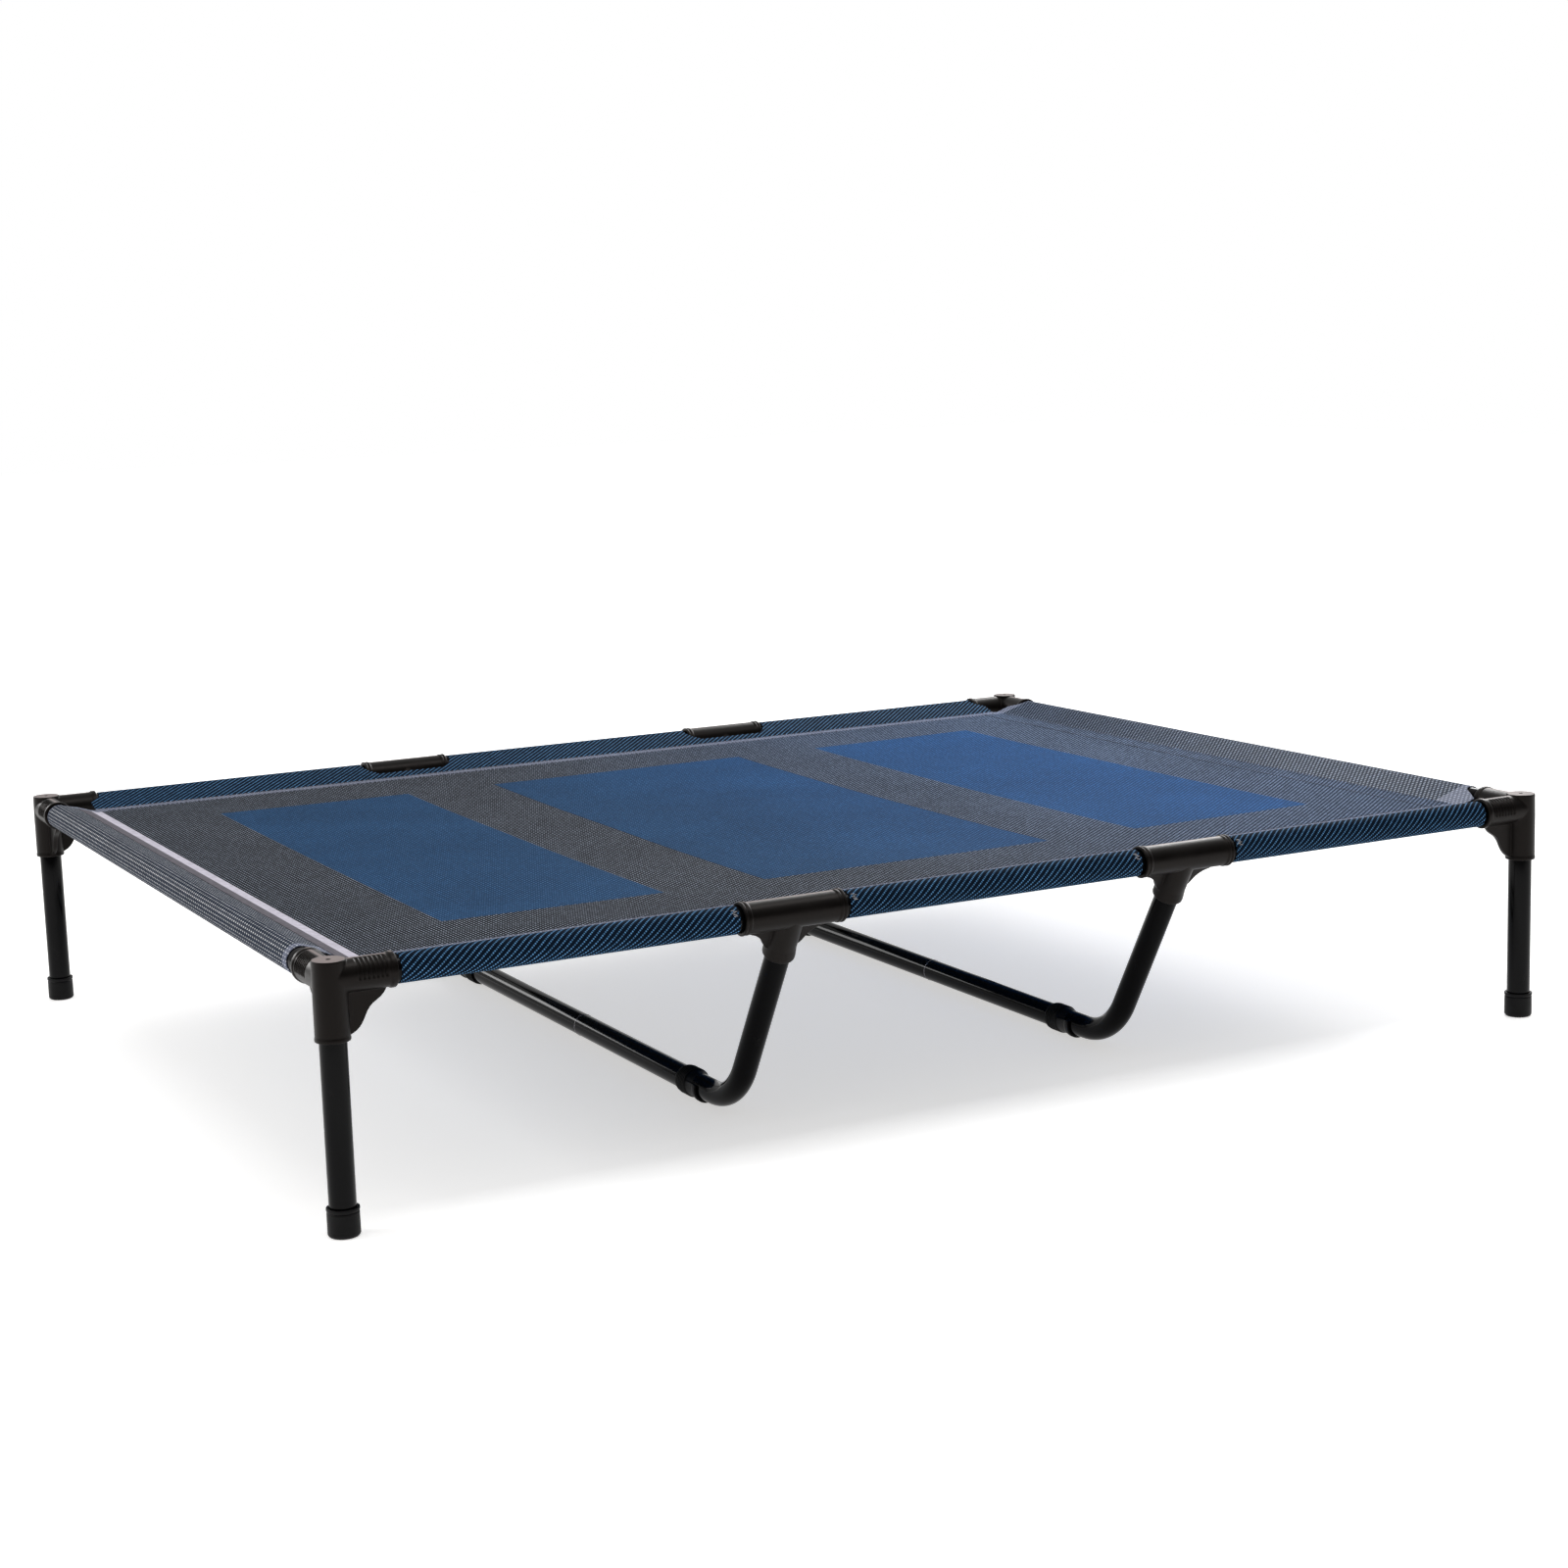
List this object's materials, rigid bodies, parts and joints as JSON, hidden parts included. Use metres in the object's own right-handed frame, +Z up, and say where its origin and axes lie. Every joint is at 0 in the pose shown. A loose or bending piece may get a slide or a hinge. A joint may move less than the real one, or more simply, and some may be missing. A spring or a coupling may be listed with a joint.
{
  "type": "raised dog bed",
  "caption": "Raised dog bed: tight mesh cover with tube hems on a push-fit frame of black round tube, moulded connectors, rubber feet and bent floor supports.",
  "frame": {"origin": "on the floor under the middle of the bed", "axes": "+X along the bed's long side, +Y across it from front to back, +Z up"},
  "size_m": [1.229, 0.954, 0.22],
  "materials": {
    "tube_paint": "satin",
    "connector_plastic": "satin",
    "foot_rubber": "matte",
    "cover_fabric": "matte",
    "hem_fabric": "matte"
  },
  "bodies": {
    "root": {"corner_front_left": "connector_plastic", "leg_front_left": "tube_paint", "foot_front_left": "foot_rubber", "corner_front_right": "connector_plastic", "leg_front_right": "tube_paint", "foot_front_right": "foot_rubber", "corner_back_right": "connector_plastic", "leg_back_right": "tube_paint", "foot_back_right": "foot_rubber", "corner_back_left": "connector_plastic", "leg_back_left": "tube_paint", "foot_back_left": "foot_rubber", "rail_front_left": "tube_paint", "hem_front_left": "hem_fabric", "rail_front_middle": "tube_paint", "hem_front_middle": "hem_fabric", "rail_front_right": "tube_paint", "hem_front_right": "hem_fabric", "rail_back_left": "tube_paint", "hem_back_left": "hem_fabric", "rail_back_middle": "tube_paint", "hem_back_middle": "hem_fabric", "rail_back_right": "tube_paint", "hem_back_right": "hem_fabric", "rail_left_front": "tube_paint", "rail_left_back": "tube_paint", "hem_left": "hem_fabric", "tee_front_left": "connector_plastic", "tee_back_left": "connector_plastic", "support_left_front": "tube_paint", "support_left_back": "tube_paint", "grip_left_front": "foot_rubber", "grip_left_back": "foot_rubber", "rail_right_front": "tube_paint", "rail_right_back": "tube_paint", "hem_right": "hem_fabric", "tee_front_right": "connector_plastic", "tee_back_right": "connector_plastic", "support_right_front": "tube_paint", "support_right_back": "tube_paint", "grip_right_front": "foot_rubber", "grip_right_back": "foot_rubber", "cover_deck": "cover_fabric"}
  },
  "joints": []
}
